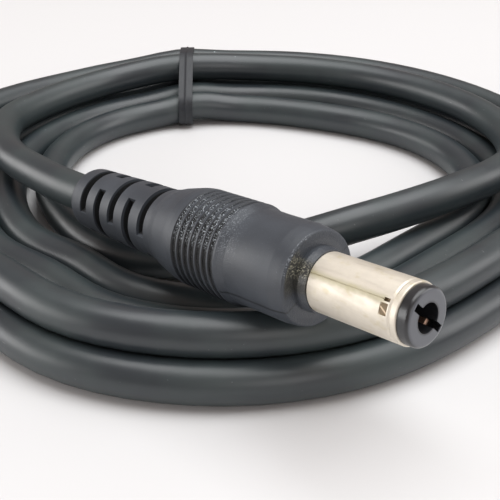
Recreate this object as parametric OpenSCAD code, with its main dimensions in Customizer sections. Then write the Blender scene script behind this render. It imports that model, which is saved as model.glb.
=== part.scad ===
// DC barrel plug, moulded on a two-core round lead that lies in a tied coil.
// The origin is on the barrel's axis, where the barrel leaves the moulding's collar.
// +X runs towards the tip (the plug lies tipped up by plug_tilt), +Z is up.

/* [Plug position] */
// Angle at which the plug lies on its coil, tip up
plug_tilt = 7.5; // [5:0.5:9]
// Height of the origin above the surface that the coil lies on
axis_height = 13.5; // [13.5:0.1:14]
// Turn of the moulding's parting plane and of the relief slots about the axis
mould_roll = 19; // [0:1:45]

/* [Barrel] */
// Outer diameter of the plated barrel
barrel_d = 5.5; // [5.3:0.05:5.6]
// Wall of the barrel tube
barrel_wall = 0.4; // [0.38:0.01:0.42]
// Length of the barrel from the moulding's front face to its rolled mouth
barrel_len = 10.75; // [9:0.05:12]
// Radius of the roll at the mouth
mouth_roll = 0.13; // [0.08:0.01:0.18]
// Distance of the bead groove from the mouth
bead_back = 0.6; // [0.4:0.05:0.8]
// Diameter of the flange at the barrel's rear
flange_d = 7; // [6.6:0.1:7.2]
// Thickness of the flange
flange_t = 0.5; // [0.4:0.05:0.6]
// Distance of the flange's back from the moulding's front face
flange_back = 2.4; // [2.2:0.1:2.8]
// Width of the latch dent that holds the insulator
dent_w = 1; // [0.8:0.05:1.1]
// Length of the latch dent along the barrel
dent_len = 0.75; // [0.6:0.05:0.9]
// Depth of the latch dent
dent_depth = 0.3; // [0.2:0.02:0.34]
// Place of the latch dent round the barrel
dent_roll = 67; // [60:1:75]
// Width of the tube's long seam
seam_w = 0.08; // [0.05:0.01:0.12]

/* [Tip insulator] */
// How far the insulator's head stands out of the mouth
head_len = 1.1; // [0.8:0.05:1.4]
// Diameter of the head
head_d = 5.16; // [5.1:0.02:5.18]
// Rounding of the head's front edge
head_round = 0.38; // [0.2:0.02:0.5]
// Diameter of the hole for the socket's centre pin
pin_hole_d = 2.6; // [2.4:0.05:2.7]
// Depth of the pin hole from the head's face
pin_hole_depth = 9.6; // [8.5:0.1:9.8]
// Width of the slot for the contact
slot_w = 0.66; // [0.6:0.02:0.74]
// Length of the slot across the head
slot_len = 4.3; // [4.1:0.05:4.4]
// Turn of the contact's slot about the axis
slot_roll = 43; // [30:1:60]

/* [Contact] */
// Thickness of the contact strip
strip_t = 0.5; // [0.4:0.02:0.54]
// Width of each tine
tine_w = 0.62; // [0.5:0.02:0.66]
// How far the tine tips stay behind the head's face
tine_back = 0.85; // [0.2:0.05:1.2]
// Width of the solder tail
tail_w = 1.5; // [1.2:0.1:1.8]
// Length of the solder tail behind the flange
tail_len = 6.8; // [6:0.1:7.5]

/* [Terminal] */
// Thickness of the sleeve terminal
terminal_t = 0.4; // [0.3:0.05:0.5]
// Width of the terminal's solder tail
lug_w = 1.8; // [1.4:0.1:2.2]
// Length of the terminal's solder tail
lug_len = 5.6; // [5:0.1:6]

/* [Moulding] */
// Diameter of the front face's rim
face_d = 8.9; // [8.4:0.1:9.2]
// Diameter of the front barrel of the moulding
body_d = 9.3; // [9:0.1:9.5]
// Diameter over the grip ribs
grip_d = 10; // [9.7:0.1:10.4]
// Length of the moulding from its face to the relief's end
mould_len = 35.4; // [34.8:0.1:38]
// Distance of the first rib from the front face
grip_front = 8.3; // [7.6:0.1:8.8]
// Number of grooves between the ribs
groove_count = 7; // [4:1:8]
// Pitch of the ribs
groove_pitch = 0.91; // [0.8:0.01:0.95]
// Depth of the grooves
groove_depth = 0.22; // [0.1:0.02:0.3]
// Width of a rib's crest
crest_w = 0.18; // [0.1:0.02:0.3]
// Length of the raised collar round the barrel
collar_len = 1.2; // [0.9:0.05:1.5]
// Diameter of the collar's foot
collar_d = 6.05; // [5.9:0.05:6.6]

/* [Strain relief] */
// Diameter of the relief at the neck
relief_d = 7.5; // [7.2:0.1:7.8]
// Diameter of the relief at the cable
relief_end_d = 7; // [6.6:0.1:7.4]
// Number of slot rings
slot_rings = 5; // [3:1:5]
// Pitch of the slot rings
slot_pitch = 2.74; // [2.4:0.02:2.8]
// Width of a slot along the relief
slot_gap = 1.25; // [0.9:0.05:1.5]
// Distance of the last slot's middle from the relief's end
slot_from_end = 3.05; // [2.8:0.05:3.4]
// Width of the two bridges that each slot ring leaves
bridge_w = 2.3; // [1.8:0.1:3]
// Thickness of the skin that the slots leave on the cable
slot_floor = 0.25; // [0.15:0.05:0.5]

/* [Cable] */
// Outer diameter of the cable jacket
cable_d = 4.4; // [4.2:0.05:4.4]
// Diameter of one insulated core
core_d = 1.8; // [1.6:0.05:1.9]
// Diameter of one bare conductor
wire_d = 1.2; // [1:0.05:1.3]
// Distance from the front face to the end of the jacket in the plug
jacket_back = 15; // [14.5:0.1:16]
// Length of the cores bared of the jacket at the far end
free_core_len = 14; // [10:1:20]
// Length of the tinned tips at the far end
free_tip_len = 5; // [4:0.5:7]

/* [Coil] */
// Middle of the coil, along X and Y
coil_middle = [-37.2, 25];
// Radius of the innermost turn
inner_turn_r = 31; // [30.8:0.1:31.2]
// Turns that lie side by side on the surface
flat_turns = 4; // [4:1:4]
// Width of the ribbon tie
tie_w = 2.2; // [2:0.1:3]
// Thickness of the ribbon tie
tie_t = 0.6; // [0.5:0.05:0.65]

/* [Hidden] */
$fn = 64;

// Clearance between pieces that slip together, and a small overshoot for cuts
slip = 0.02;
over = 0.5;
fine = 0.01;

barrel_r = barrel_d / 2;
tube_r = barrel_r - barrel_wall;
neck_r = barrel_r - 0.2;
neck_top_z = collar_len + 0.05;
head_r = head_d / 2;
tip_z = barrel_len + head_len;
pin_r = pin_hole_d / 2;
hole_floor_z = tip_z - pin_hole_depth;
dent_z = barrel_len - bead_back - 0.35 - dent_len;
terminal_z = -flange_back - terminal_t;
bush_len = 1.6;
bush_r = tube_r + 0.65;
bush_z = terminal_z - bush_len;
shoulder_z = terminal_z - 0.6;
tine_in = pin_r + 0.05;
fork_w = 2 * (tine_in + tine_w);
tail_z = -flange_back - tail_len;
lug_in = bush_r + 0.1;
lug_end_z = terminal_z - lug_len;
cavity_r = flange_d / 2 + 0.2;
cable_r = cable_d / 2;
core_r = core_d / 2;
wire_r = wire_d / 2;
core_offset = core_r + 0.05;
grip_back = grip_front + groove_count * groove_pitch;
neck_z = -grip_back - 7.6;

// The lead's loose stretch: out of the relief, one wide turn over the coil,
// down inside it and under the plug's neck to the innermost turn
lead_points = [
    [-36.3, 0, -4.78], [-38.8, 0, -5.11], [-43.4, -0.1, -5.5], [-49, 0, -5.8],
    [-55, 0.4, -6.1], [-61, 2, -6.4], [-66.5, 5, -6.7], [-70.6, 9, -6.8], [-73.5, 17, -6.8],
    [-74.5, 26.7, -6.7], [-73.3, 34.4, -6.3], [-71.6, 39.4, -6.1], [-69.3, 44, -6.3],
    [-64.6, 50.3, -6.7], [-57.1, 56.5, -6.8], [-48.3, 60.6, -6.8], [-38.8, 62.3, -6.8],
    [-29, 61.4, -6.8], [-20.5, 57.9, -6.8], [-13.8, 51.5, -6.8], [-10.7, 43.6, -6.2],
    [-11.2, 34, -6.3], [-13, 26.6, -6.8], [-15, 20.5, -7.3], [-18, 15.8, -8.6],
    [-21.5, 11.7, -10.1], [-24.5, 8, -10.9], [-29, 3.5, -11.3], [-33.5, 0.5, -11.3],
    [-37, 0, -11.3]
];

// The last stretch, beside the coil on the surface
tail_points = [[-51.3, -22.2, -11.3], [-55.6, -21.5, -11.3], [-59.6, -19.7, -11.3],
    [-63.2, -17.2, -11.3]];

// Radius of the second layer's turn and its height above the surface
top_turn_r = inner_turn_r + 2.5 * cable_d;
top_turn_h = cable_r + cable_d * sqrt(3) / 2;
outer_turn_r = inner_turn_r + (flat_turns - 1) * cable_d;

// Places a piece that is modelled along +Z, with its own +X upwards, on the plug's axis
module on_plug() {
    rotate([0, 90 - plug_tilt, 0])
        rotate([0, 0, 180])
            translate([0, 0, -collar_len])
                children();
}

// Points of an arc about [x, y], from one angle to another
function arc(x, y, r, from, to, steps) =
    [for (i = [0:steps]) let (a = from + (to - from) * i / steps) [x + r * cos(a), y + r * sin(a)]];

// Two points of a groove and one crest of the grip, from the front back
function groove_points(i) =
    let (z = -grip_front - i * groove_pitch)
    [
        [grip_d / 2, z],
        [grip_d / 2, z - crest_w],
        [grip_d / 2 - groove_depth, z - crest_w - 0.1],
        [grip_d / 2 - groove_depth, z - groove_pitch + 0.1]
    ];

// Outline of the moulding, radius against distance along the axis
mould_outline = concat(
    [[0, -mould_len], [cable_r + 0.35, -mould_len]],
    arc(relief_end_d / 2 - 0.9, -mould_len + 0.9, 0.9, -80, 0, 6),
    [[(relief_d + relief_end_d) / 4, (neck_z - mould_len) / 2], [relief_d / 2 - 0.02, neck_z - 2.4]],
    [[relief_d / 2 - 0.04, neck_z], [relief_d / 2 + 0.05, neck_z + 1.4]],
    [[relief_d / 2 + 0.28, neck_z + 2.6], [relief_d / 2 + 0.62, neck_z + 3.7]],
    [[grip_d / 2 - 0.32, neck_z + 5.1], [grip_d / 2 - 0.08, neck_z + 6.2]],
    [[grip_d / 2, neck_z + 6.9], [grip_d / 2, -grip_back]],
    [for (i = [groove_count - 1:-1:0]) for (p = [3:-1:0]) groove_points(i)[p]],
    [[grip_d / 2 - 0.12, -grip_front + 0.35], [body_d / 2 + 0.06, -grip_front + 1]],
    [[body_d / 2, -grip_front + 2.6], [body_d / 2, -1.7], [face_d / 2 + 0.08, -0.7]],
    arc(face_d / 2 - 0.25, -0.25, 0.25, 0, 90, 4),
    [[collar_d / 2, 0], [collar_d / 2, 0.42], [barrel_r + 0.12, collar_len], [0, collar_len]]
);

// Cut-outs of one ring of the relief's slots
module slot_ring(z, turn) {
    rotate([0, 0, turn])
        difference() {
            translate([0, 0, z - slot_gap / 2])
                cylinder(r = grip_d, h = slot_gap);
            translate([0, 0, z - slot_gap])
                cylinder(r = cable_r + slot_floor, h = 2 * slot_gap);
            translate([-grip_d - over, -bridge_w / 2, z - slot_gap])
                cube([2 * (grip_d + over), bridge_w, 2 * slot_gap]);
        }
}

module overmould() {
    color("#3b3d40")
        on_plug()
            difference() {
                rotate_extrude()
                    polygon(mould_outline);
                translate([0, 0, -flange_back])
                    cylinder(r = neck_r, h = flange_back + collar_len + over);
                translate([0, 0, terminal_z])
                    cylinder(r = flange_d / 2, h = flange_t + terminal_t);
                translate([0, 0, -jacket_back])
                    cylinder(r = cavity_r, h = jacket_back + terminal_z);
                translate([0, 0, -mould_len - over])
                    cylinder(r = cable_r, h = mould_len);
                for (i = [0:slot_rings - 1])
                    slot_ring(-mould_len + slot_from_end + i * slot_pitch,
                        mould_roll + (i % 2 == 0 ? 90 : 0));
            }
}

// The rolled tube with its flange; the seam runs from the collar to the latch dent
module barrel_sleeve() {
    color("#d8d2c2")
        on_plug()
            difference() {
                rotate_extrude()
                    polygon(concat(
                        [[tube_r, -flange_back], [flange_d / 2, -flange_back]],
                        [[flange_d / 2, flange_t - flange_back], [neck_r, flange_t - flange_back]],
                        [[neck_r, neck_top_z], [barrel_r, neck_top_z]],
                        [[barrel_r, barrel_len - bead_back - 0.25]],
                        [[barrel_r - 0.06, barrel_len - bead_back - 0.05]],
                        [[barrel_r, barrel_len - bead_back + 0.1]],
                        arc(barrel_r - mouth_roll, barrel_len - mouth_roll, mouth_roll, 0, 90, 4),
                        [[tube_r, barrel_len]]));
                rotate([0, 0, dent_roll])
                    translate([0, dent_w / 2, 0])
                        rotate([90, 0, 0])
                            linear_extrude(dent_w)
                                polygon([[barrel_r + over, dent_z], [barrel_r - 0.08, dent_z],
                                    [barrel_r - dent_depth, dent_z + dent_len],
                                    [barrel_r + over, dent_z + dent_len]]);
                rotate([0, 0, dent_roll - 17])
                    translate([barrel_r - dent_depth, -0.15, dent_z + 0.2])
                        cube([over, 0.3, dent_len - 0.15]);
                rotate([0, 0, dent_roll - 17])
                    translate([barrel_r - 0.07, -seam_w / 2, collar_len + 0.1])
                        cube([over, seam_w, dent_z - collar_len + 0.3]);
            }
}

// The slot and the pin hole that the contact and the socket's pin run in
module contact_slot(low, high) {
    rotate([0, 0, slot_roll])
        translate([-slot_len / 2, -slot_w / 2, low])
            cube([slot_len, slot_w, high - low]);
}

module tip_insulator() {
    color("#1d1e20")
        on_plug()
            difference() {
                rotate_extrude()
                    polygon(concat(
                        [[0, -flange_back], [tube_r - slip, -flange_back]],
                        [[tube_r - slip, barrel_len + fine], [head_r, barrel_len + fine]],
                        arc(head_r - head_round, tip_z - head_round, head_round, 0, 90, 6),
                        [[0, tip_z]]));
                translate([0, 0, hole_floor_z])
                    cylinder(r = pin_r, h = pin_hole_depth + over);
                contact_slot(-flange_back - over, tip_z + over);
            }
}

// Flat outline of the fork, across and along the plug: tail, shoulders, base and tines
function fork_side(s) = [
    [s * tail_w / 2, tail_z],
    [s * tail_w / 2, shoulder_z],
    [s * fork_w / 2, shoulder_z],
    [s * fork_w / 2, tip_z - tine_back - 0.3],
    [s * (fork_w / 2 - 0.2), tip_z - tine_back],
    [s * (tine_in + 0.12), tip_z - tine_back],
    [s * tine_in, tip_z - tine_back - 0.2],
    [s * tine_in, hole_floor_z - 0.1]
];

module fork(thickness) {
    left = fork_side(-1);
    right = fork_side(1);
    rotate([0, 0, slot_roll])
        translate([0, thickness / 2, 0])
            rotate([90, 0, 0])
                linear_extrude(thickness)
                    polygon(concat(right, [for (i = [len(left) - 1:-1:0]) left[i]]));
}

module centre_contact() {
    color("#c98a4e")
        on_plug()
            fork(strip_t);
}

module bush_body() {
    translate([0, 0, bush_z])
        cylinder(r = bush_r, h = bush_len);
}

module rear_insulator() {
    color("#e8e4d8")
        on_plug()
            difference() {
                bush_body();
                fork(strip_t + 2 * slip);
            }
}

// The solder tails stand on opposite sides of the contact strip's plane
module lug_place() {
    rotate([0, 0, slot_roll + 90])
        translate([lug_in, -lug_w / 2, lug_end_z])
            cube([terminal_t, lug_w, lug_len]);
}

module sleeve_terminal() {
    color("#cfcabb")
        on_plug()
            union() {
                difference() {
                    translate([0, 0, terminal_z])
                        cylinder(r = flange_d / 2, h = terminal_t);
                    translate([0, 0, terminal_z - over])
                        cylinder(r = fork_w / 2 + 0.1, h = terminal_t + 2 * over);
                }
                lug_place();
            }
}

// Axis of a core: side 1 is the positive one, which runs straight to the contact's tail
module core_place(side) {
    rotate([0, 0, slot_roll - 90 * side])
        translate([core_offset, 0, 0])
            children();
}

wire_end_z = tail_z + 2.4;
core_end_z = tail_z - 0.6;
negative_end_z = core_end_z - 2.2;
negative_wire_slant = 14;

module straight_run(r, low, high) {
    translate([0, 0, low])
        cylinder(r = r, h = high - low);
}

// The negative wire slants outwards from its core to the terminal's tail
module slanted_wire() {
    core_place(-1)
        translate([0, 0, negative_end_z])
            rotate([0, negative_wire_slant, 0])
                translate([0, 0, -1])
                    cylinder(r = wire_r, h = 6.2);
}

module positive_wire() {
    color("#b9b7b0")
        on_plug()
            core_place(1)
                straight_run(wire_r, core_end_z, wire_end_z);
}

module positive_core() {
    color("#b3201c")
        on_plug()
            core_place(1)
                straight_run(core_r, -mould_len, core_end_z);
}

// Space behind a plane square to the plug's axis
module behind(z) {
    translate([-grip_d, -grip_d, -mould_len])
        cube([2 * grip_d, 2 * grip_d, mould_len + z]);
}

module negative_wire() {
    color("#b9b7b0")
        on_plug()
            difference() {
                slanted_wire();
                behind(negative_end_z);
            }
}

module negative_core_shape() {
    core_place(-1)
        straight_run(core_r, -mould_len, negative_end_z);
}

module negative_core() {
    color("#232426")
        on_plug()
            negative_core_shape();
}

// Short lumps of solder between each flat tail and its wire
module centre_solder_shape() {
    core_place(1)
        translate([-0.2, 0, tail_z + 0.3])
            cylinder(r = 0.9, h = 1.9);
}

module sleeve_solder_shape() {
    rotate([0, 0, slot_roll + 90])
        translate([lug_in - 0.6, 0, lug_end_z + 0.3])
            cylinder(r = 0.84, h = 1.4);
}

module centre_solder() {
    color("#a9a9a6")
        on_plug()
            difference() {
                centre_solder_shape();
                fork(strip_t);
                core_place(1)
                    straight_run(wire_r, core_end_z, wire_end_z);
            }
}

module sleeve_solder() {
    color("#a9a9a6")
        on_plug()
            difference() {
                sleeve_solder_shape();
                lug_place();
                slanted_wire();
            }
}

// First shot: fills the space round the joints, from the terminal to the jacket
module inner_mould() {
    color("#6c6f72")
        on_plug()
            difference() {
                translate([0, 0, -jacket_back])
                    cylinder(r = cavity_r, h = jacket_back + terminal_z);
                bush_body();
                fork(strip_t);
                lug_place();
                centre_solder_shape();
                sleeve_solder_shape();
                core_place(1)
                    straight_run(wire_r, core_end_z - over, wire_end_z);
                core_place(1)
                    straight_run(core_r, -mould_len, core_end_z);
                slanted_wire();
                negative_core_shape();
            }
}

module cable_end() {
    color("#2e312f")
        on_plug()
            difference() {
                translate([0, 0, -mould_len])
                    cylinder(r = cable_r, h = mould_len - jacket_back);
                core_place(1)
                    straight_run(core_r, -mould_len - over, -jacket_back + over);
                core_place(-1)
                    straight_run(core_r, -mould_len - over, -jacket_back + over);
            }
}

// Unit vector, and the frame that a sweep carries along its route without twisting
function unit(v) = v / norm(v);
function heading(pts, i) =
    i == 0 ? unit(pts[1] - pts[0])
    : i == len(pts) - 1 ? unit(pts[i] - pts[i - 1])
    : unit(unit(pts[i + 1] - pts[i]) + unit(pts[i] - pts[i - 1]));
function side_of(t) = unit(cross([0, 0, 1], t));

// Catmull-Rom point between pts[i] and pts[i + 1]
function spline(pts, i, u) =
    let (
        b = pts[i],
        c = pts[i + 1],
        a = i == 0 ? 2 * b - c : pts[i - 1],
        d = i + 2 < len(pts) ? pts[i + 2] : 2 * c - b
    )
    0.5 * (2 * b + (c - a) * u + (2 * a - 5 * b + 4 * c - d) * u * u
        + (3 * b - a - 3 * c + d) * u * u * u);
function smooth_route(pts, steps) =
    concat([for (i = [0:len(pts) - 2]) for (k = [0:steps - 1]) spline(pts, i, k / steps)],
        [pts[len(pts) - 1]]);

// One polyhedron swept along a route, with flat ends
module tube(pts, r, sides) {
    last = len(pts) - 1;
    rings = [for (i = [0:last]) let (t = heading(pts, i), s = side_of(t), n = cross(t, s))
        for (k = [0:sides - 1]) pts[i] + r * (cos(360 * k / sides) * s + sin(360 * k / sides) * n)];
    walls = [for (i = [0:last - 1]) for (k = [0:sides - 1]) let (j = (k + 1) % sides)
        [i * sides + k, (i + 1) * sides + k, (i + 1) * sides + j, i * sides + j]];
    polyhedron(points = rings, faces = concat(
        [[for (k = [0:sides - 1]) k]],
        walls,
        [[for (k = [sides - 1:-1:0]) last * sides + k]]));
}

// Straight out of the relief first, so that the lead's end is square to the plug
lead_route = concat([lead_points[0]],
    smooth_route([for (i = [1:len(lead_points) - 1]) lead_points[i]], 2));

module cable_lead() {
    color("#2e312f")
        tube(lead_route, cable_r, 10);
}

// Section of the coil: turns side by side, and one turn in the valley of the outer two
coil_section = concat(
    arc(outer_turn_r, cable_r, cable_r, -90, 60, 8),
    arc(top_turn_r, top_turn_h, cable_r, -30, 210, 12),
    [[top_turn_r - cable_d, cable_d]],
    arc(inner_turn_r, cable_r, cable_r, 90, 270, 8)
);

tie_turn = 227.4 - 70;
tie_lift = tie_t + 0.15;

module cable_coil() {
    color("#2e312f")
        translate([coil_middle[0], coil_middle[1], -axis_height])
            difference() {
                rotate_extrude($fn = 96)
                    polygon(coil_section);
                rotate([0, 0, tie_turn])
                    translate([inner_turn_r - 2 * cable_r, -tie_w / 2 - 0.4, -over])
                        cube([outer_turn_r - inner_turn_r + 4 * cable_r, tie_w + 0.8, over + tie_lift]);
            }
}

module cable_tail() {
    color("#2e312f")
        tube(tail_points, cable_r, 10);
}

// Inner outline of the tie, round the turns and the lead, as radius and height
tie_inner = [
    [inner_turn_r - 2.6, tie_t], [outer_turn_r + 2.6, tie_t], [outer_turn_r + 2.6, 4.4],
    [outer_turn_r + 0.9, 8], [top_turn_r + 1, 9.3], [inner_turn_r + 8, 10.1],
    [inner_turn_r + 5.2, 10.1], [inner_turn_r - 2.6, 5]
];
tie_outer = [
    [inner_turn_r - 3.2, 0], [outer_turn_r + 3.2, 0], [outer_turn_r + 3.2, 4.6],
    [outer_turn_r + 1.4, 8.4], [top_turn_r + 1.3, 9.9], [inner_turn_r + 8.2, 10.7],
    [inner_turn_r + 4.9, 10.7], [inner_turn_r - 3.2, 5.2]
];

module twist_tie() {
    color("#26272a")
        translate([coil_middle[0], coil_middle[1], -axis_height])
            rotate([0, 0, tie_turn])
                union() {
                    translate([0, tie_w / 2, 0])
                        rotate([90, 0, 0])
                            linear_extrude(tie_w)
                                difference() {
                                    polygon(tie_outer);
                                    polygon(tie_inner);
                                }
                    translate([outer_turn_r + 2.9, 0, 4])
                        rotate([0, 100, 0])
                            linear_extrude(9, twist = 540, slices = 15, $fn = 4)
                                square([2 * tie_t, tie_w - 0.4], center = true);
                }
}

// Cores and tips at the far end, spread a little from the cut end of the jacket
tail_end = tail_points[len(tail_points) - 1];
tail_dir = atan2(tail_end[1] - tail_points[len(tail_points) - 2][1],
    tail_end[0] - tail_points[len(tail_points) - 2][0]);

module at_tail(side) {
    translate(tail_end)
        rotate([0, 0, tail_dir])
            translate([0, side * core_offset, 0])
                rotate([0, 90, 0])
                    children();
}

module positive_core_tail() {
    color("#b3201c")
        at_tail(1)
            cylinder(r = core_r, h = free_core_len);
}

module negative_core_tail() {
    color("#232426")
        at_tail(-1)
            cylinder(r = core_r, h = free_core_len);
}

module positive_tip() {
    color("#b9b7b0")
        at_tail(1)
            translate([0, 0, free_core_len])
                cylinder(r = wire_r, h = free_tip_len);
}

module negative_tip() {
    color("#b9b7b0")
        at_tail(-1)
            translate([0, 0, free_core_len])
                cylinder(r = wire_r, h = free_tip_len);
}

overmould();
inner_mould();
barrel_sleeve();
tip_insulator();
centre_contact();
rear_insulator();
sleeve_terminal();
centre_solder();
sleeve_solder();
positive_wire();
negative_wire();
positive_core();
negative_core();
cable_end();
cable_lead();
cable_coil();
cable_tail();
twist_tie();
positive_core_tail();
negative_core_tail();
positive_tip();
negative_tip();
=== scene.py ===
import math

import bmesh
import bpy
from mathutils import Euler, Matrix, Vector


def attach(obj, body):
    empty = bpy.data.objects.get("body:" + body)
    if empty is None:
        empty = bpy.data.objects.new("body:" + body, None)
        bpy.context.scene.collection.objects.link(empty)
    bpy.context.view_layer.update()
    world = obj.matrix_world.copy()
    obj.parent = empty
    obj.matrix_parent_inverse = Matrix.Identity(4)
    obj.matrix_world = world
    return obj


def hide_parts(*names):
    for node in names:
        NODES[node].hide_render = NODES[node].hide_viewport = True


bl_info = {
    "name": "Barrel plug on its coiled lead",
    "version": (1, 0, 0),
    "blender": (4, 5, 0),
    "location": "View3D > Sidebar > Barrel plug",
    "description": "Dresses the moulded barrel plug, its tied coil of cable and its plain stage",
    "category": "Object",
}

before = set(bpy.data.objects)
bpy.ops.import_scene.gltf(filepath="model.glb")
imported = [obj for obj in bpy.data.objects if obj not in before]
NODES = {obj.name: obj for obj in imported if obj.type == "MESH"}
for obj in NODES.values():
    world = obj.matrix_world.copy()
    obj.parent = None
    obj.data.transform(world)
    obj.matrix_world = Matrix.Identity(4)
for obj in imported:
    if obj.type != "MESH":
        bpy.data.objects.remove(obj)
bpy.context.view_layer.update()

# Lengths below are in millimetres unless a comment says metres, and Blender gets them times this
MM = 0.001

# The plug lies tipped up about the Y axis; every finish that follows its axis uses this turn
PLUG_TILT = math.radians(7.5)

# The surface that the coil lies on, and the middle of the coil
TABLE_Z = -13.5
COIL_MIDDLE = (-37.2, 25.0)
# Bearing of the coil's leftmost point as the camera sees it, about the frame's Z axis
COIL_START_BEARING = 227.4
JACKET_D = 4.4

# The loose stretch of the lead: out of the relief, round over the coil and down inside it
LEAD_POINTS = (
    (-36.3, 0, -4.78), (-38.8, 0, -5.11), (-43.4, -0.1, -5.5), (-49, 0, -5.8),
    (-55, 0.4, -6.1), (-61, 2, -6.4), (-66.5, 5, -6.7), (-70.6, 9, -6.8), (-73.5, 17, -6.8),
    (-74.5, 26.7, -6.7), (-73.3, 34.4, -6.3), (-71.6, 39.4, -6.1), (-69.3, 44, -6.3),
    (-64.6, 50.3, -6.7), (-57.1, 56.5, -6.8), (-48.3, 60.6, -6.8), (-38.8, 62.3, -6.8),
    (-29, 61.4, -6.8), (-20.5, 57.9, -6.8), (-13.8, 51.5, -6.8), (-10.7, 43.6, -6.2),
    (-11.2, 34, -6.3), (-13, 26.6, -6.8), (-15, 20.5, -7.3), (-18, 15.8, -8.6),
    (-21.5, 11.7, -10.1), (-24.5, 8, -10.9), (-29, 3.5, -11.3), (-33.5, 0.5, -11.3),
    (-37, 0, -11.3),
)
# The last stretch, beside the coil
TAIL_POINTS = ((-55.6, -21.5, -11.3), (-59.6, -19.7, -11.3), (-63.2, -17.2, -11.3))

INNER_TURN_R = 31.0
WINDING_START_R = 25.0
FLAT_TURNS = 4
# Bearings, in degrees along the winding, between which each turn steps out to the next
STEP_FROM, STEP_TO = 330.0, 410.0
WINDING_FROM = 317.0
BEARING_STEP = 4
# The last turn rolls up on its neighbour to this angle, and down again over the last bearings
ROLL_TOP = 120
ROLL_OUT_FROM = STEP_FROM + 360 * FLAT_TURNS + 342
ROLL_OUT_SPAN = 22
# The hand-wound coil's flatter stretches: how deep, at which bearing, how wide
LOW_FLAT, SIDE_FLAT, INNER_FLAT = (4.8, 225, 32), (2.0, 312, 13), (2.5, 112, 30)

TIE_BEARING = 73.6
# How far the strands stand up over the tie, and over what width of bearing
TIE_LIFT, TIE_LIFT_WIDTH = 0.75, 8
# Corners of the ribbon's loop round the strands: radius and height on the table
TIE_CORNERS = ((27.4, 0.5), (47.2, 0.5), (47.2, 4.0), (44.6, 8.35), (41.9, 9.45), (36.6, 9.95), (27.4, 4.6))
TIE_CORNER_R = 1.4
# Rows across the ribbon, as shares of its width, and how far its middle row stands up over the wire
TIE_ROWS = (0.32, 0.1, 0.08, 0.08, 0.1, 0.32)
TIE_RIDGE_ROW, TIE_RIDGE_RISE = 2, 0.25
# Where the twisted ends of the tie leave the loop, as radius and height, and how far they reach
TIE_KNOT = (47.65, 4.0)
TIE_TWIST = 9.0
TIE_TWIST_TURN, TIE_TWIST_STEPS = math.radians(540), 40
TIE_TWIST_DROOP = math.radians(100)
# The loop stands a little askew of the coil's radius
TIE_SKEW = math.radians(-15)

CORE_LENGTH, CORE_BEND_R = 14.0, 60.0
# Half of the gap between the two cores, and the rounding of their cut edges
CORE_GAP, CORE_EDGE = 0.05, 0.1
TIP_LENGTH, TIP_R = 5.0, 0.6
STRANDS, STRAND_LAY = 7, math.radians(130)

# Where the plug's finishes change, in metres along its axis from the collar's face; minus is towards
# the cable, and each pair is the start and the end of a fade
SLOTS_FRONT = (-0.0215, -0.0205)
GRIP_BACK = (-0.0162, -0.0157)
GRIP_FRONT = (-0.0102, -0.0098)
BODY_BACK = (-0.0100, -0.0095)
BODY_GRAIN_FRONT = (-0.0090, -0.0068)
LINE_BACK = (-0.0098, -0.0092)
LINE_FRONT = (-0.0014, -0.0010)
COLLAR_FACE = (-0.00145, -0.00118)
DENT_BACK = (0.0076, 0.0078)
DENT_FRONT = (0.00864, 0.00868)
DENT_MIDDLE = 0.00805
BAND_FRONT = (0.0080, 0.0086)
HEAD_FACE = (0.01052, 0.01064)

# The same in metres out from the axis
HEAD_HOLE_LIP = (0.00133, 0.00152)
FORK_SHADE = (0.00135, 0.0015)
DENT_FLOOR = (0.00237, 0.00239)
DENT_TOP = (0.00266, 0.00271)
SLOT_FLOOR = (0.0033, 0.0035)
POLISH_REACH = (0.0034, 0.0039)
# How far out from the axis the painted reflection of the barrel reaches
REFLECTION_REACH = (0.0040, 0.0043)
RIM_START = (0.0041, 0.0043)
GROOVE_DEEP = (0.00483, 0.00492)
GROOVE_TOP = (0.00490, 0.00499)

# Sides of the plug, as how far they face along Y and Z
# The lit side, where glints are painted
LIT_SIDE = (-0.6, 0.8)
# The side of the grooves that is painted in shade
SHADED_GROOVE_SIDE = (-0.91, 0.41)
REFLECTION_SIDE = (-0.90, 0.43)
# Degrees about the axis, from +Y up to +Z
LINE_TURN, SEAM_TURN, DENT_TURN = 114, 50, 67

# The stage, in metres; the lens and the sensor are in millimetres
CAMERA_PLACE = (0.04444, -0.05004, 0.04008)
CAMERA_TILT, CAMERA_TURN = math.radians(61), math.radians(47.4)
CAMERA_LENS, CAMERA_SENSOR = 64.8, 36.0
LIT_PLACE = (-0.02, 0.01, -0.01)
# Each light's place, width and height, power and colour
LIGHTS = {
    "top_light": ((-0.02, 0.10, 0.60), (0.66, 0.66), 4.9, (0.97, 0.99, 1.0)),
    "left_light": ((-0.56, -0.54, 0.09), (0.9, 0.45), 5.2, (1, 1, 1)),
    "front_light": ((0.55, -0.25, 0.30), (0.35, 0.35), 0.7, (1, 1, 1)),
    "right_light": ((0.40, 0.52, 0.36), (0.4, 0.4), 1.6, (1, 1, 1)),
}
SURROUNDINGS_COLOUR, SURROUNDINGS_STRENGTH = (1.0, 0.78, 0.69), 0.27
FLOOR_COLOUR = (0.69, 0.69, 0.695)
# Half of the floor's side, and how far it lies below the table's height
FLOOR_HALF, FLOOR_GAP = 3.0, 0.00002


class Sizes(bpy.types.PropertyGroup):
    """Sizes of the pieces that the scene makes."""

    jacket_d: bpy.props.FloatProperty(
        name="Cable diameter", description="Outer diameter of the lead's jacket",
        default=JACKET_D * MM, min=0.003, max=0.006, unit="LENGTH")
    tie_width: bpy.props.FloatProperty(
        name="Tie width", description="Width of the ribbon tie round the coil",
        default=0.0022, min=0.001, max=0.004, unit="LENGTH")
    tie_thickness: bpy.props.FloatProperty(
        name="Tie thickness", description="Thickness of the ribbon tie",
        default=0.00045, min=0.0002, max=0.0006, unit="LENGTH")
    core_d: bpy.props.FloatProperty(
        name="Core diameter", description="Diameter of one insulated core",
        default=0.0018, min=0.001, max=0.002, unit="LENGTH")


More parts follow.
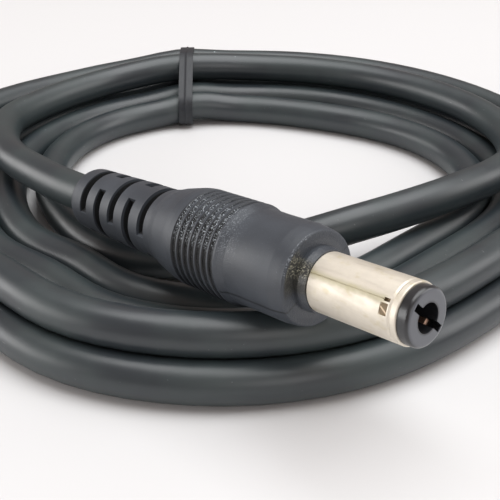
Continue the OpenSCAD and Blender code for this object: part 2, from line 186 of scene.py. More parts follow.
class Colours(bpy.types.PropertyGroup):
    """Colours of the finishes."""

    mould: bpy.props.FloatVectorProperty(
        name="Moulding", description="Colour of the moulded grip and strain relief",
        subtype="COLOR", default=(0.043, 0.050, 0.061), min=0, max=1)
    jacket: bpy.props.FloatVectorProperty(
        name="Jacket", description="Colour of the cable's jacket",
        subtype="COLOR", default=(0.027, 0.035, 0.042), min=0, max=1)
    plating: bpy.props.FloatVectorProperty(
        name="Plating", description="Colour of the plated barrel",
        subtype="COLOR", default=(0.78, 0.73, 0.64), min=0, max=1)
    tip: bpy.props.FloatVectorProperty(
        name="Tip", description="Colour of the insulator's glossy head",
        subtype="COLOR", default=(0.012, 0.013, 0.015), min=0, max=1)
    contact: bpy.props.FloatVectorProperty(
        name="Contact", description="Colour of the centre contact",
        subtype="COLOR", default=(1.0, 0.68, 0.52), min=0, max=1)
    positive: bpy.props.FloatVectorProperty(
        name="Positive core", description="Colour of the positive core's insulation",
        subtype="COLOR", default=(0.45, 0.02, 0.015), min=0, max=1)
    negative: bpy.props.FloatVectorProperty(
        name="Negative core", description="Colour of the negative core's insulation",
        subtype="COLOR", default=(0.018, 0.018, 0.020), min=0, max=1)


class Value:
    """A shader socket that takes Python's arithmetic and adds its Math nodes."""

    def __init__(self, finish, socket):
        self.finish = finish
        self.socket = socket

    def _math(self, operation, first, second):
        return self.finish.node("ShaderNodeMath", {"operation": operation}, {0: first, 1: second})

    def __add__(self, other):
        return self._math("ADD", self, other)

    def __sub__(self, other):
        return self._math("SUBTRACT", self, other)

    def __mul__(self, other):
        return self._math("MULTIPLY", self, other)

    def __truediv__(self, other):
        return self._math("DIVIDE", self, other)

    def __abs__(self):
        return self._math("ABSOLUTE", self, 0.0)


class Finish:
    """A material under construction: its Principled shader and one way to add any other node."""

    def __init__(self, name, **sockets):
        self.material = bpy.data.materials.new(name)
        self.material.use_nodes = True
        self.tree = self.material.node_tree
        self.tree.nodes.clear()
        self.output = self.tree.nodes.new("ShaderNodeOutputMaterial")
        self.shader = self.tree.nodes.new("ShaderNodeBsdfPrincipled")
        self.tree.links.new(self.shader.outputs[0], self.output.inputs["Surface"])
        for socket, value in sockets.items():
            self.shader.inputs[socket.replace("_", " ")].default_value = value

    def node(self, kind, settings=None, values=None, out=0):
        """Any shader node, with its settings and inputs, as one of its outputs."""
        made = self.tree.nodes.new(kind)
        for key, value in (settings or {}).items():
            setattr(made, key, value)
        for key, value in (values or {}).items():
            self._put(made.inputs[key], value)
        return Value(self, made.outputs[out])

    def _put(self, socket, value):
        if isinstance(value, Value):
            self.tree.links.new(value.socket, socket)
        elif socket.type == "RGBA" and len(value) == 3:
            socket.default_value = (*value, 1.0)
        else:
            socket.default_value = value

    def feed(self, name, value):
        """Sets or links an input of the Principled shader."""
        self._put(self.shader.inputs[name], value)

    def place(self, turn=(0, 0, 0), stretch=(1, 1, 1)):
        """Object coordinates, turned and stretched."""
        here = self.node("ShaderNodeTexCoord", out="Object")
        return self.node("ShaderNodeMapping", {"vector_type": "POINT"},
                         {"Vector": here, "Rotation": turn, "Scale": stretch})

    def along_plug(self, stretch=(1, 1, 1)):
        """Object coordinates with X along the plug's axis from the collar, and Z up across it."""
        return self.place(turn=(0, PLUG_TILT, 0), stretch=stretch)

    def split(self, vector):
        """The three parts of a vector."""
        made = self.tree.nodes.new("ShaderNodeSeparateXYZ")
        self._put(made.inputs[0], vector)
        return [Value(self, out) for out in made.outputs]

    def noise(self, vector, scale, detail=2.0, roughness=0.5):
        """Soft noise from 0 to 1."""
        return self.node("ShaderNodeTexNoise", {"noise_dimensions": "3D"},
                         {"Vector": vector, "Scale": scale, "Detail": detail, "Roughness": roughness})

    def between(self, value, low, high, low_to=0.0, high_to=1.0):
        """value from low to high, carried smoothly onto low_to to high_to and held outside."""
        return self.node("ShaderNodeMapRange", {"interpolation_type": "SMOOTHSTEP", "clamp": True},
                         {"Value": value, "From Min": low, "From Max": high,
                          "To Min": low_to, "To Max": high_to})

    def falls(self, value, low, high):
        """1 below low, 0 above high, and smooth between them."""
        return self.between(value, low, high, 1.0, 0.0)

    def off_axis(self, y, z):
        """Distance from the plug's axis."""
        return self.node("ShaderNodeMath", {"operation": "SQRT"}, {0: y * y + z * z})

    def mix(self, factor, first, second):
        """The first colour where the factor is 0, and the second where it is 1."""
        made = self.tree.nodes.new("ShaderNodeMix")
        made.data_type = "RGBA"
        self._put(made.inputs["Factor"], factor)
        self._put(made.inputs[6], first)
        self._put(made.inputs[7], second)
        return Value(self, made.outputs[2])

    def bump(self, height, distance, strength=1.0, under=None):
        """A normal raised by a height, on top of the one under it."""
        values = {"Height": height, "Distance": distance, "Strength": strength}
        if under is not None:
            values["Normal"] = under
        return self.node("ShaderNodeBump", None, values)


def shade(colour, factor):
    """A colour made lighter or darker."""
    return tuple(min(1.0, part * factor) for part in colour)


def facing(y, z, side):
    """How far a place lies out on a side of the plug."""
    return y * side[0] + z * side[1]


def side_at(degrees):
    """The side of the plug at an angle about its axis, from +Y up to +Z."""
    return math.cos(math.radians(degrees)), math.sin(math.radians(degrees))


def moulded_pvc(colour):
    """Satin moulding: spark-eroded grain in the grip's grooves, and the line where its mould halves met;
    painted shade in the grooves and slots, painted glints on the lit side, a front face painted lighter, and
    a painted reflection of the barrel on it.
    """
    f = Finish("moulded_pvc", Specular_IOR_Level=0.5, Coat_Roughness=0.12)
    here = f.along_plug()
    x, y, z = f.split(here)
    out = f.off_axis(y, z)
    fine = f.noise(here, 6400.0, 2.0, 0.6)
    grain = f.noise(here, 7000.0, 2.0, 0.6)
    cloud = f.noise(here, 190.0, 3.0, 0.55)
    # Grained zone: the grooves, and a fading stretch of the body ahead of them
    edge = x + f.between(cloud, 0.2, 0.8, -0.0008, 0.0008)
    grip = f.between(x, *GRIP_BACK) * f.falls(x, *GRIP_FRONT)
    groove_shade = grip * f.falls(out, *GROOVE_TOP)
    ahead = f.between(x, *BODY_BACK) * f.falls(edge, *BODY_GRAIN_FRONT)
    front = f.between(x, *COLLAR_FACE)
    polished = front * f.falls(out, *POLISH_REACH)
    slot = f.falls(x, *SLOTS_FRONT) * f.falls(out, *SLOT_FLOOR)
    deep = grip * f.falls(out, *GROOVE_DEEP)
    rough_zone = deep + ahead * 0.2
    # Painted glints: bright specks in the grain, on the side that turns towards the light and along the rim
    lit_flank = f.between(facing(y, z, LIT_SIDE) / out, 0.80, 0.95)
    shaded_side = f.between(facing(y, z, SHADED_GROOVE_SIDE) / out, 0.74, 0.93)
    # The front face's rim, where painted glints are laid too
    rim = front * f.between(out, *RIM_START) * 0.5
    # Painted reflection of the barrel on the front face beside it: dark olive, with gold highlights painted
    # in its grain on the lit side
    barrel_reflection = front * f.between(facing(y, z, REFLECTION_SIDE) / out, 0.80, 0.95) * f.falls(out, *REFLECTION_REACH)
    reflected_olive, reflected_glint = (0.024, 0.023, 0.018), (0.36, 0.35, 0.27)
    painted_glint, speck = (0.60, 0.66, 0.72), (0.40, 0.44, 0.46)
    # Parting line along the front of the body
    off_line = abs(facing(y, z, side_at(LINE_TURN)))
    line = f.falls(off_line, 0.00006, 0.00014) * f.between(x, *LINE_BACK) * f.falls(x, *LINE_FRONT)
    tone = f.mix(f.between(cloud, 0.3, 0.7), shade(colour, 0.88), shade(colour, 1.12))
    # Painted shade: the grooves darkened almost to black, most on their shaded side
    tone = f.mix(groove_shade * (shaded_side * 0.55 + 0.42), tone, shade(colour, 0.08))
    # Painted shade: the slots of the strain relief darkened almost to black
    tone = f.mix(slot, tone, shade(colour, 0.05))
    # Painted light: the front face made lighter than the body, as lit from the front
    tone = f.mix(front * 0.3, tone, shade(colour, 1.45))
    tone = f.mix(polished * 0.2, tone, shade(colour, 0.6))
    tone = f.mix(barrel_reflection * 0.8, tone, reflected_olive)
    tone = f.mix(f.between(grain, 0.47, 0.66) * barrel_reflection * (lit_flank * 0.75 + 0.1), tone, reflected_glint)
    tone = f.mix(f.between(grain, 0.54, 0.62) * lit_flank * (rough_zone + rim) * 0.8, tone, painted_glint)
    tone = f.mix(f.between(fine, 0.62, 0.78) * 0.45, tone, shade(colour, 2.4))
    tone = f.mix(f.falls(fine, 0.25, 0.38) * 0.35, tone, shade(colour, 0.6))
    tone = f.mix(specks(f, here, 620.0, 0.045), tone, speck)
    tone = f.mix(line * 0.9, tone, shade(colour, 0.15))
    f.feed("Base Color", tone)
    plain = f.between(cloud, 0.3, 0.7, 0.42, 0.54)
    f.feed("Roughness", plain - rough_zone * 0.14 - front * 0.06 - polished * 0.06 + slot * 0.4)
    f.feed("Coat Weight", polished * 0.3)
    low = f.bump(fine, 0.000020, 0.5)
    mid = f.bump(grain * (rough_zone + front * 0.35), 0.00016, 1.0, low)
    f.feed("Normal", f.bump(line, 0.00006, -0.8, mid))
    return f.material


def specks(f, vector, scale, size):
    """Sparse round specks, at a few of the texture's cells."""
    cell = f.node("ShaderNodeTexVoronoi", {"feature": "F1"}, {"Vector": vector, "Scale": scale}, "Distance")
    chosen = f.noise(vector, scale * 0.31, 1.0, 0.5)
    return f.falls(cell, size, size * 2) * f.between(chosen, 0.60, 0.64)


def extruded_jacket(colour):
    """Satin extruded jacket with a waxy sheen, a few specks and fine scuffs."""
    f = Finish("cable_jacket", Specular_IOR_Level=0.7)
    here = f.place()
    fine = f.noise(here, 3600.0, 2.0, 0.5)
    cloud = f.noise(here, 120.0, 3.0, 0.55)
    scuff = f.noise(f.place(turn=(0.3, 0.2, 0.7), stretch=(1, 9, 9)), 420.0, 1.0, 0.5)
    waxy = (colour[0] * 1.15, colour[1] * 1.25, colour[2] * 1.1)
    scuffed, speck = (0.22, 0.24, 0.24), (0.35, 0.40, 0.42)
    tone = f.mix(f.between(cloud, 0.3, 0.7), shade(colour, 0.85), waxy)
    tone = f.mix(f.between(scuff, 0.775, 0.80) * 0.4, tone, scuffed)
    tone = f.mix(specks(f, here, 400.0, 0.035), tone, speck)
    f.feed("Base Color", tone)
    f.feed("Roughness", f.between(cloud, 0.3, 0.7, 0.35, 0.44))
    low = f.bump(fine, 0.000012, 0.35)
    f.feed("Normal", f.bump(cloud, 0.0002, 0.12, low))
    return f.material


def nickel_plate(colour):
    """Satin plated tube: draw lines, a dull band at its seam, yellowed clouds and a brown latch dent with a
    painted highlight across it.
    """
    f = Finish("nickel_plate", Metallic=1.0)
    drawn = f.along_plug(stretch=(0.03, 1, 1))
    here = f.along_plug()
    x, y, z = f.split(here)
    out = f.off_axis(y, z)
    cloud = f.noise(here, 330.0, 4.0, 0.65)
    stain = f.noise(f.along_plug(stretch=(0.45, 1, 1)), 760.0, 3.0, 0.7)
    streak = f.noise(drawn, 4200.0, 2.0, 0.5)
    wander = f.between(cloud, 0.2, 0.8, -0.00012, 0.00012)
    off_seam = abs(facing(y, z, side_at(SEAM_TURN)) + wander)
    seam_side = f.between(facing(y, z, side_at(SEAM_TURN + 90)), 0.0, 0.001)
    band = f.falls(off_seam, 0.00008, 0.00055) * seam_side * f.falls(x, *BAND_FRONT)
    off_dent = facing(y, z, side_at(DENT_TURN))
    dent = (f.falls(out, *DENT_TOP) * f.between(out, *DENT_FLOOR) * f.between(x, *DENT_BACK)
            * f.falls(x, *DENT_FRONT) * f.falls(abs(off_dent), 0.0007, 0.0011))
    # Painted highlight: a bright diagonal strip across the dent
    dent_glint = f.falls(abs(off_dent * 1.2 + x - DENT_MIDDLE), 0.00005, 0.00014) * dent
    yellowed, dulled = (0.62, 0.55, 0.36), (0.46, 0.43, 0.28)
    browned, bright = (0.26, 0.19, 0.11), (0.85, 0.72, 0.55)
    tone = f.mix(f.between(cloud, 0.35, 0.7), colour, shade(colour, 0.92))
    tone = f.mix(f.between(stain, 0.53, 0.68) * 0.45, tone, yellowed)
    tone = f.mix(band * 0.6, tone, dulled)
    tone = f.mix(dent * 0.85, tone, browned)
    tone = f.mix(dent_glint, tone, bright)
    f.feed("Base Color", tone)
    worn = f.between(cloud, 0.4, 0.8, 0.0, 0.10)
    f.feed("Roughness", f.between(streak, 0.3, 0.75, 0.53, 0.63) + worn + band * 0.05)
    f.feed("Normal", f.bump(streak, 0.000008, 0.4, f.bump(cloud, 0.00002, 0.15)))
    return f.material


def tip_plastic(colour):
    """Glossy moulded head with faint moulding ripple; its flat face is painted paler and a lighter ring is
    painted round the hole, both standing in for light.
    """
    f = Finish("tip_plastic", Specular_IOR_Level=0.6, Coat_Roughness=0.06)
    here = f.along_plug()
    x, y, z = f.split(here)
    cloud = f.noise(here, 420.0, 2.0, 0.5)
    fine = f.noise(here, 5200.0, 2.0, 0.5)
    out = f.off_axis(y, z)
    face = f.between(x, *HEAD_FACE)
    # Painted light: a lighter ring round the hole, for its lit chamfer
    painted_lip_light = face * f.falls(out, *HEAD_HOLE_LIP)
    tone = f.mix(f.between(cloud, 0.3, 0.7), colour, shade(colour, 1.4))
    # Painted light: the flat face made far paler, for the bright table it reflects
    tone = f.mix(face * 0.9, tone, shade(colour, 9.0))
    f.feed("Base Color", f.mix(painted_lip_light * 0.7, tone, shade(colour, 1.5)))
    f.feed("Roughness", f.between(cloud, 0.3, 0.7, 0.27, 0.34) + face * 0.08)
    f.feed("Coat Weight", f.between(fine, 0.3, 0.7, 0.15, 0.3))
    f.feed("Normal", f.bump(fine, 0.000005, 0.3))
    return f.material


def contact_copper(colour):
    """Stamped strip, warm and slightly tarnished, with painted shade on the parts outside the bore."""
    f = Finish("contact_copper", Metallic=1.0)
    here = f.along_plug(stretch=(0.1, 1, 1))
    streak = f.noise(here, 4200.0, 2.0, 0.5)
    cloud = f.noise(f.along_plug(), 900.0, 2.0, 0.5)
    y, z = f.split(f.along_plug())[1:]
    out = f.off_axis(y, z)
    tone = f.mix(f.between(cloud, 0.35, 0.7), colour, shade(colour, 0.8))
    # Painted shade: the fork beyond the bore's radius darkened almost to black
    f.feed("Base Color", f.mix(f.between(out, *FORK_SHADE), tone, shade(colour, 0.04)))
    f.feed("Roughness", f.between(streak, 0.3, 0.7, 0.34, 0.5))
    f.feed("Normal", f.bump(streak, 0.000008, 0.4))
    return f.material


def smooth_insulation(name, colour):
    """Smooth coloured insulation of one core."""
    f = Finish(name, Specular_IOR_Level=0.45)
    here = f.place()
    cloud = f.noise(here, 700.0, 2.0, 0.5)
    f.feed("Base Color", f.mix(f.between(cloud, 0.3, 0.7), shade(colour, 0.9), shade(colour, 1.1)))
    f.feed("Roughness", f.between(cloud, 0.3, 0.7, 0.3, 0.42))
    f.feed("Normal", f.bump(cloud, 0.00003, 0.2))
    return f.material


def soft_metal(name, colour, rough, scale):
    """Solder or tinned copper: bright, with an uneven skin."""
    f = Finish(name, Metallic=1.0)
    here = f.along_plug()
    cloud = f.noise(here, scale, 3.0, 0.6)
    f.feed("Base Color", f.mix(f.between(cloud, 0.3, 0.7), shade(colour, 0.85), colour))
    f.feed("Roughness", f.between(cloud, 0.3, 0.7, rough, rough + 0.15))
    f.feed("Normal", f.bump(cloud, 0.00003, 0.4))
    return f.material


def plain_moulding(name, colour):
    """Unpolished inner moulding."""
    f = Finish(name, Specular_IOR_Level=0.4)
    here = f.along_plug()
    fine = f.noise(here, 2600.0, 3.0, 0.6)
    f.feed("Base Color", f.mix(f.between(fine, 0.3, 0.7), shade(colour, 0.9), shade(colour, 1.1)))
    f.feed("Roughness", f.between(fine, 0.3, 0.7, 0.5, 0.62))
    f.feed("Normal", f.bump(fine, 0.00002, 0.4))
    return f.material


def tie_ribbon(colour):
    """Ribbed plastic ribbon of the tie."""
    f = Finish("tie_ribbon", Specular_IOR_Level=0.5)
    here = f.place()
    fine = f.noise(here, 2200.0, 2.0, 0.5)
    f.feed("Base Color", f.mix(f.between(fine, 0.3, 0.7), shade(colour, 0.8), shade(colour, 1.2)))
    f.feed("Roughness", f.between(fine, 0.3, 0.7, 0.45, 0.55))
    f.feed("Normal", f.bump(fine, 0.00002, 0.3))
    return f.material


def dress(name, material):
    """Gives a CAD node its finish."""
    mesh = NODES[name].data
    mesh.materials.clear()
    mesh.materials.append(material)


def add_object(name, mesh, material):
    """A finished piece at the origin, which rides on the part's one body."""
    obj = bpy.data.objects.new(name, mesh)
    bpy.context.scene.collection.objects.link(obj)
    obj.data.materials.append(material)
    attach(obj, "root")
    return obj


def add_mesh(name, bm, material):
    """Turns a finished bmesh into a smooth piece."""
    bmesh.ops.recalc_face_normals(bm, faces=bm.faces)
    mesh = bpy.data.meshes.new(name)
    bm.to_mesh(mesh)
    bm.free()
    mesh.shade_smooth()
    mesh.set_sharp_from_angle(angle=math.radians(40))
    return add_object(name, mesh, material)


def sweep(bm, ring, centre, axis, angle, along, steps):
    """Spins a closed ring of edges about an axis and along it, and caps both ends."""
    bmesh.ops.spin(bm, geom=ring, cent=centre, axis=axis, angle=angle, steps=steps,
                   dvec=tuple(part / steps for part in along), use_merge=False)
    open_edges = [edge for edge in bm.edges if edge.is_boundary]
    bmesh.ops.holes_fill(bm, edges=open_edges, sides=0)


def bearing_point(radius, bearing, height):
    """A point of the coil from its radius, its bearing along the winding and its height on the table."""
    turn = math.radians(COIL_START_BEARING - bearing)
    return Vector((COIL_MIDDLE[0] + radius * math.cos(turn), COIL_MIDDLE[1] + radius * math.sin(turn),
                   TABLE_Z + height))


def ease(part):
    """0 to 1 with no corner at either end."""
    part = min(1.0, max(0.0, part))
    return part * part * (3 - 2 * part)


def rolled(radius, part, start, end):
    """Place of a turn that rolls over its neighbour of that radius, from one angle to another."""
    angle = math.radians(start + (end - start) * part)
    return radius + JACKET_D * math.cos(angle), JACKET_D / 2 + JACKET_D * math.sin(angle)


def hump(bearing, middle, width):
    """1 at the middle bearing, falling to 0 on both sides of it."""
    off = (bearing - middle + 180) % 360 - 180
    return math.exp(-(off / width) ** 2)


def flat(bearing, depth, middle, width):
    """Depth of one flatter stretch of the coil at a bearing."""
    return depth * hump(bearing, middle, width)


def squeeze(bearing, radius):
    """How far a hand-wound turn lies inside its true circle."""
    wound = min(1.0, max(0.0, (radius - WINDING_START_R) / (INNER_TURN_R - WINDING_START_R)))
    inner = min(1.0, max(0.0, (INNER_TURN_R + JACKET_D - radius) / JACKET_D))
    outer_flats = flat(bearing, *LOW_FLAT) + flat(bearing, *SIDE_FLAT)
    return outer_flats * wound + flat(bearing, *INNER_FLAT) * wound * inner


def turn_place(bearing):
    """Radius and height of the winding at a bearing that counts on from turn to turn."""
    low = JACKET_D / 2
    turn = int((bearing - STEP_FROM) // 360)
    part = ease((bearing - STEP_FROM - 360 * turn) / (STEP_TO - STEP_FROM))
    if bearing < STEP_FROM:
        return WINDING_START_R, low
    if turn == 0:
        return WINDING_START_R + (INNER_TURN_R - WINDING_START_R) * part, low
    radius = INNER_TURN_R + JACKET_D * (turn - 1)
    if turn < FLAT_TURNS:
        return radius + JACKET_D * part, low
    outer = INNER_TURN_R + JACKET_D * (FLAT_TURNS - 1)
    if bearing < ROLL_OUT_FROM:
        return rolled(radius - JACKET_D + JACKET_D * part, part, 0, ROLL_TOP)
    return rolled(outer, ease((bearing - ROLL_OUT_FROM) / ROLL_OUT_SPAN), ROLL_TOP, 0)


def curve_through(points, steps):
    """Points of a smooth curve through the given ones."""
    ends = [points[0] * 2 - points[1], *points, points[-1] * 2 - points[-2]]
    route = []
    for a, b, c, d in zip(ends, ends[1:], ends[2:], ends[3:]):
        for step in range(steps):
            u = step / steps
            route.append(0.5 * (2 * b + (c - a) * u + (2 * a - 5 * b + 4 * c - d) * u * u
                                + (3 * b - a - 3 * c + d) * u ** 3))
    return route + [points[-1]]


def tie_hump(bearing):
    """How far the strands stand up where the tie passes under them."""
    return TIE_LIFT * hump(bearing, TIE_BEARING, TIE_LIFT_WIDTH)


def lead_route():
    """The whole lead, from the relief to its cut end, in metres."""
    loose = [Vector(p) for p in LEAD_POINTS]
    route = [loose[0]] + curve_through(loose[1:], 4)
    bearing = WINDING_FROM + BEARING_STEP
    while bearing < ROLL_OUT_FROM + ROLL_OUT_SPAN:
        radius, height = turn_place(bearing)
        route.append(bearing_point(radius - squeeze(bearing, radius), bearing, height + tie_hump(bearing)))
        bearing += BEARING_STEP
    tail = [route[-1], *(Vector(p) for p in TAIL_POINTS)]
    route += curve_through(tail, 3)[1:]
    return [p * MM for p in route]


def route_length(route):
    """Length along a route of points."""
    return sum((b - a).length for a, b in zip(route, route[1:]))


class LeadOperator(bpy.types.Operator):
    """Lays the lead out of the relief, winds it into its coil and ends it beside the coil."""

    bl_idname = "plug.wind_lead"
    bl_label = "Wind the lead"

    def execute(self, context):
        sizes, colours = context.scene.plug_sizes, context.scene.plug_colours
        route = lead_route()
        curve = bpy.data.curves.new("wound_lead", "CURVE")
        curve.dimensions = "3D"
        curve.bevel_depth = sizes.jacket_d / 2
        curve.bevel_resolution = 10
        curve.use_fill_caps = True
        spline = curve.splines.new("POLY")
        spline.points.add(len(route) - 1)
        for point, place in zip(spline.points, route):
            point.co = (*place, 1.0)
        spline.use_smooth = True
        lead = add_object("wound_lead", curve, extruded_jacket(colours.jacket))
        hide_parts("cable_lead", "cable_coil", "cable_tail")
        dress("cable_end", lead.data.materials[0])
        return {"FINISHED"}


class TieOperator(bpy.types.Operator):
    """Closes the ribbon tie round the coil and twists its ends together."""

    bl_idname = "plug.tie_coil"
    bl_label = "Tie the coil"

    def execute(self, context):
        sizes = context.scene.plug_sizes
        bm = self.loop(sizes)
        self.twist(bm, sizes)
        turn = math.radians(COIL_START_BEARING - TIE_BEARING)
        middle = Vector((*COIL_MIDDLE, TABLE_Z)) * MM
        centre = (0.5 * (TIE_CORNERS[0][0] + TIE_CORNERS[1][0]) * MM, 0, 0)
        bmesh.ops.rotate(bm, cent=centre, matrix=Matrix.Rotation(TIE_SKEW, 3, "Z"), verts=bm.verts)
        bmesh.ops.rotate(bm, cent=(0, 0, 0), matrix=Matrix.Rotation(turn, 3, "Z"), verts=bm.verts)
        bmesh.ops.translate(bm, vec=middle, verts=bm.verts)
        tie = add_mesh("ribbon_tie", bm, tie_ribbon((0.017, 0.020, 0.025)))
        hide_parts("twist_tie")
        return {"FINISHED"}

    def loop(self, sizes):
        """The closed loop: rounded corners, the ribbon's width in rows, a ridge over its wire."""
        bm = bmesh.new()
        start = -sizes.tie_width / 2
        corners = [bm.verts.new((r * MM, start, h * MM)) for r, h in TIE_CORNERS]
        for a, b in zip(corners, corners[1:] + corners[:1]):
            bm.edges.new((a, b))
        bmesh.ops.bevel(bm, geom=bm.verts[:], affect="VERTICES", offset=TIE_CORNER_R * MM,
                        offset_type="OFFSET", segments=4, profile=0.5, material=-1)
        row = bm.edges[:]
        rows = []
        for step in TIE_ROWS:
            made = bmesh.ops.extrude_edge_only(bm, edges=row)["geom"]
            row = [part for part in made if isinstance(part, bmesh.types.BMEdge)
                   and all(v in made for v in part.verts)]
            moved = [part for part in made if isinstance(part, bmesh.types.BMVert)]
            bmesh.ops.translate(bm, vec=(0, sizes.tie_width * step, 0), verts=moved)
            rows.append(moved)
        bmesh.ops.recalc_face_normals(bm, faces=bm.faces)
        bm.normal_update()
        for vert in rows[TIE_RIDGE_ROW]:
            vert.co += vert.normal * sizes.tie_thickness * TIE_RIDGE_RISE
        bmesh.ops.solidify(bm, geom=bm.faces[:], thickness=sizes.tie_thickness)
        return bm

    def twist(self, bm, sizes):
        """Two flat ends wound round each other, pointing away from the coil."""
        ends = bmesh.new()
        thick, wide = sizes.tie_thickness, sizes.tie_width * 0.86
        for side in (-1, 1):
            ring = bmesh.ops.create_grid(ends, x_segments=1, y_segments=1, size=0.5)["verts"]
            bmesh.ops.scale(ends, vec=(thick, wide, 1), verts=ring)
            bmesh.ops.translate(ends, vec=(side * thick * 0.55, 0, 0), verts=ring)
        rim = ends.edges[:]
        bmesh.ops.delete(ends, geom=ends.faces[:], context="FACES_ONLY")
        reach = (0, 0, TIE_TWIST * MM)
        sweep(ends, rim, (0, 0, 0), (0, 0, 1), TIE_TWIST_TURN, reach, TIE_TWIST_STEPS)
        droop = Matrix.Rotation(TIE_TWIST_DROOP, 3, "Y")
        bmesh.ops.rotate(ends, cent=(0, 0, 0), matrix=droop, verts=ends.verts)
        bmesh.ops.translate(ends, vec=(TIE_KNOT[0] * MM, 0, TIE_KNOT[1] * MM), verts=ends.verts)
        mesh = bpy.data.meshes.new("tie_ends")
        ends.to_mesh(mesh)
        ends.free()
        bm.from_mesh(mesh)
        bpy.data.meshes.remove(mesh)


class EndsOperator(bpy.types.Operator):
    """Bares the cores and tins their tips at the lead's far end."""

    bl_idname = "plug.bare_ends"
    bl_label = "Bare the ends"

    def execute(self, context):
        sizes, colours = context.scene.plug_sizes, context.scene.plug_colours
        red = smooth_insulation("red_insulation", colours.positive)
        black = smooth_insulation("black_insulation", colours.negative)
        tin = soft_metal("tinned_wire", (0.62, 0.61, 0.58), 0.3, 3000.0)
        dress("positive_core", red)
        dress("negative_core", black)
        dress("positive_wire", tin)
        dress("negative_wire", tin)
        for side, name, finish, slot in ((1, "positive", red, "red_insulation"),
                                         (-1, "negative", black, "black_insulation")):
            core = add_mesh(f"{name}_core_end", self.core(side, sizes), finish)
            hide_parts(f"{name}_core_tail")
            tip = add_mesh(f"{name}_strands", self.strands(side, sizes), tin)
            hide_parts(f"{name}_tip")
        return {"FINISHED"}

    def core(self, side, sizes):
        """One core, bent slightly away from the other, with its cut edge rounded."""
        bm = bmesh.new()
        bmesh.ops.create_circle(bm, segments=24, radius=sizes.core_d / 2)
        self.stand(bm, side, sizes)
        bend = CORE_BEND_R * MM
        bmesh.ops.spin(bm, geom=bm.edges[:], cent=(0, side * (bend + sizes.core_d / 2), 0), axis=(0, 0, side),
                       angle=CORE_LENGTH / CORE_BEND_R, steps=12, use_merge=False)
        ends = [edge for edge in bm.edges if edge.is_boundary]
        bmesh.ops.holes_fill(bm, edges=ends, sides=0)
        bmesh.ops.bevel(bm, geom=ends, affect="EDGES", offset=CORE_EDGE * MM, offset_type="OFFSET",
                        segments=2, profile=0.5, material=-1)
        self.lay(bm)
        return bm

    def strands(self, side, sizes):
        """Seven twisted strands that continue the bent core."""
        bm = bmesh.new()
        strand = TIP_R * MM / 3
        around = STRANDS - 1
        for turn in range(STRANDS):
            reach = 0 if turn == around else 2 * strand
            ring = bmesh.ops.create_circle(bm, segments=10, radius=strand)["verts"]
            angle = math.radians(360 / around * turn)
            bmesh.ops.translate(bm, vec=(reach * math.cos(angle), reach * math.sin(angle), 0), verts=ring)
        self.stand(bm, side, sizes)
        middle = (0, side * sizes.core_d / 2, 0)
        sweep(bm, bm.edges[:], middle, (1, 0, 0), STRAND_LAY, (TIP_LENGTH * MM, 0, 0), 14)
        bend = Matrix.Rotation(side * CORE_LENGTH / CORE_BEND_R, 3, "Z")
        bend_middle = (0, side * (CORE_BEND_R * MM + sizes.core_d / 2), 0)
        bmesh.ops.rotate(bm, cent=bend_middle, matrix=bend, verts=bm.verts)
        self.lay(bm)
        return bm

    def stand(self, bm, side, sizes):
        """Turns flat rings to face along X and sets them beside the lead's axis."""
        bmesh.ops.rotate(bm, cent=(0, 0, 0), matrix=Matrix.Rotation(math.radians(90), 3, "Y"), verts=bm.verts)
        bmesh.ops.translate(bm, vec=(0, side * (sizes.core_d / 2 + CORE_GAP * MM), 0), verts=bm.verts)

    def lay(self, bm):
        """Moves a piece from the origin to the lead's cut end."""
        before, end = Vector(TAIL_POINTS[-2]), Vector(TAIL_POINTS[-1])
        turn = math.atan2(end.y - before.y, end.x - before.x)
        bmesh.ops.rotate(bm, cent=(0, 0, 0), matrix=Matrix.Rotation(turn, 3, "Z"), verts=bm.verts)
        bmesh.ops.translate(bm, vec=end * MM, verts=bm.verts)


class DeclareOperator(bpy.types.Operator):
    """Works out the lead's length along its route and rounds it; the result is not kept."""

    bl_idname = "plug.declare_lead"
    bl_label = "Declare the lead"

    def execute(self, context):
        route = lead_route()
        round(route_length(route), 3)
        return {"FINISHED"}


class PlugOperator(bpy.types.Operator):
    """Finishes the moulding, the barrel, the tip and the contact."""

    bl_idname = "plug.finish_plug"
    bl_label = "Finish the plug"

    def execute(self, context):
        colours = context.scene.plug_colours
        dress("overmould", moulded_pvc(colours.mould))
        plate = nickel_plate(colours.plating)
        dress("barrel_sleeve", plate)
        dress("sleeve_terminal", plate)
        dress("tip_insulator", tip_plastic(colours.tip))
        dress("centre_contact", contact_copper(colours.contact))
        return {"FINISHED"}


class InsideOperator(bpy.types.Operator):
    """Finishes what the moulding hides."""

    bl_idname = "plug.finish_inside"
    bl_label = "Finish the inside"

    def execute(self, context):
        dress("inner_mould", plain_moulding("inner_pvc", (0.12, 0.125, 0.13)))
        dress("rear_insulator", plain_moulding("insulator_plastic", (0.75, 0.72, 0.65)))
        solder = soft_metal("solder", (0.6, 0.6, 0.58), 0.22, 1500.0)
        dress("centre_solder", solder)
        dress("sleeve_solder", solder)
        return {"FINISHED"}


def area_light(name, place, size, power, colour):
    """A rectangular light that faces the plug and its coil."""
    lamp = bpy.data.lights.new(name, "AREA")
    lamp.shape = "RECTANGLE"
    lamp.size, lamp.size_y = size
    lamp.energy = power
    lamp.color = colour
    obj = bpy.data.objects.new(name, lamp)
    obj.location = place
    obj.rotation_mode = "QUATERNION"
    obj.rotation_quaternion = (Vector(LIT_PLACE) - Vector(place)).to_track_quat("-Z", "Y")
    bpy.context.scene.collection.objects.link(obj)


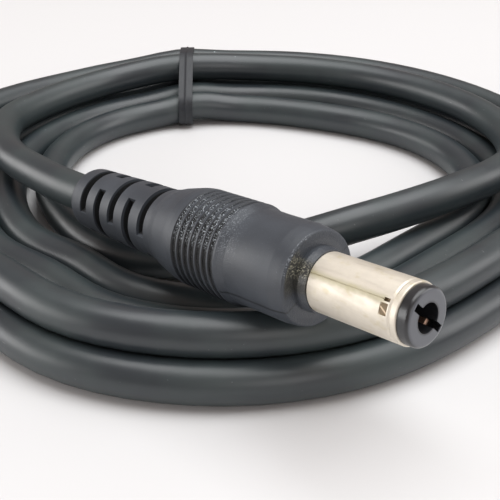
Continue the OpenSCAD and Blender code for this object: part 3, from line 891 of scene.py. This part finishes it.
class StageOperator(bpy.types.Operator):
    """Sets the camera, the pale floor, the lights and the white surroundings."""

    bl_idname = "plug.set_stage"
    bl_label = "Set the stage"

    def execute(self, context):
        scene = context.scene
        scene.view_settings.view_transform = "Standard"
        camera = bpy.data.cameras.new("camera")
        camera.lens, camera.sensor_width = CAMERA_LENS, CAMERA_SENSOR
        camera.clip_start, camera.clip_end = 0.002, 20.0
        camera_obj = bpy.data.objects.new("camera", camera)
        camera_obj.location = CAMERA_PLACE
        camera_obj.rotation_euler = Euler((CAMERA_TILT, 0, CAMERA_TURN))
        scene.collection.objects.link(camera_obj)
        scene.camera = camera_obj
        self.floor()
        self.world(scene)
        for name, light in LIGHTS.items():
            area_light(name, *light)
        return {"FINISHED"}

    def floor(self):
        """The pale table."""
        mesh = bpy.data.meshes.new("floor")
        bm = bmesh.new()
        bmesh.ops.create_grid(bm, x_segments=1, y_segments=1, size=FLOOR_HALF)
        bmesh.ops.translate(bm, vec=(0, 0, TABLE_Z * MM - FLOOR_GAP), verts=bm.verts)
        bm.to_mesh(mesh)
        bm.free()
        f = Finish("floor_white", Roughness=0.6, Specular_IOR_Level=0.2)
        f.feed("Base Color", FLOOR_COLOUR)
        obj = bpy.data.objects.new("floor", mesh)
        obj.data.materials.append(f.material)
        bpy.context.scene.collection.objects.link(obj)

    def world(self, scene):
        """Even light from all around."""
        world = bpy.data.worlds.new("surroundings")
        scene.world = world
        world.use_nodes = True
        tree = world.node_tree
        tree.nodes.clear()
        out = tree.nodes.new("ShaderNodeOutputWorld")
        back = tree.nodes.new("ShaderNodeBackground")
        tree.links.new(back.outputs[0], out.inputs[0])
        back.inputs[0].default_value = (*SURROUNDINGS_COLOUR, 1)
        back.inputs[1].default_value = SURROUNDINGS_STRENGTH


class PLUG_PT_panel(bpy.types.Panel):
    """Lists the steps that dress the plug."""

    bl_label = "Barrel plug"
    bl_idname = "PLUG_PT_panel"
    bl_space_type = "VIEW_3D"
    bl_region_type = "UI"
    bl_category = "Barrel plug"

    def draw(self, context):
        for group in (context.scene.plug_sizes, context.scene.plug_colours):
            for name in group.bl_rna.properties.keys():
                if name not in ("rna_type", "name"):
                    self.layout.prop(group, name)
        for operator in OPERATORS:
            self.layout.operator(operator.bl_idname)


OPERATORS = (StageOperator, LeadOperator, TieOperator, EndsOperator, DeclareOperator, PlugOperator,
             InsideOperator)
CLASSES = (Sizes, Colours, *OPERATORS, PLUG_PT_panel)


def register():
    """Makes the groups, operators and panel known to Blender."""
    for made in CLASSES:
        bpy.utils.register_class(made)
    bpy.types.Scene.plug_sizes = bpy.props.PointerProperty(type=Sizes)
    bpy.types.Scene.plug_colours = bpy.props.PointerProperty(type=Colours)


def unregister():
    """Takes them away again."""
    del bpy.types.Scene.plug_colours
    del bpy.types.Scene.plug_sizes
    for made in reversed(CLASSES):
        bpy.utils.unregister_class(made)


def main():
    """Runs every step."""
    register()
    for operator in OPERATORS:
        group, name = operator.bl_idname.split(".")
        getattr(getattr(bpy.ops, group), name)()


if __name__ == "__main__":
    main()
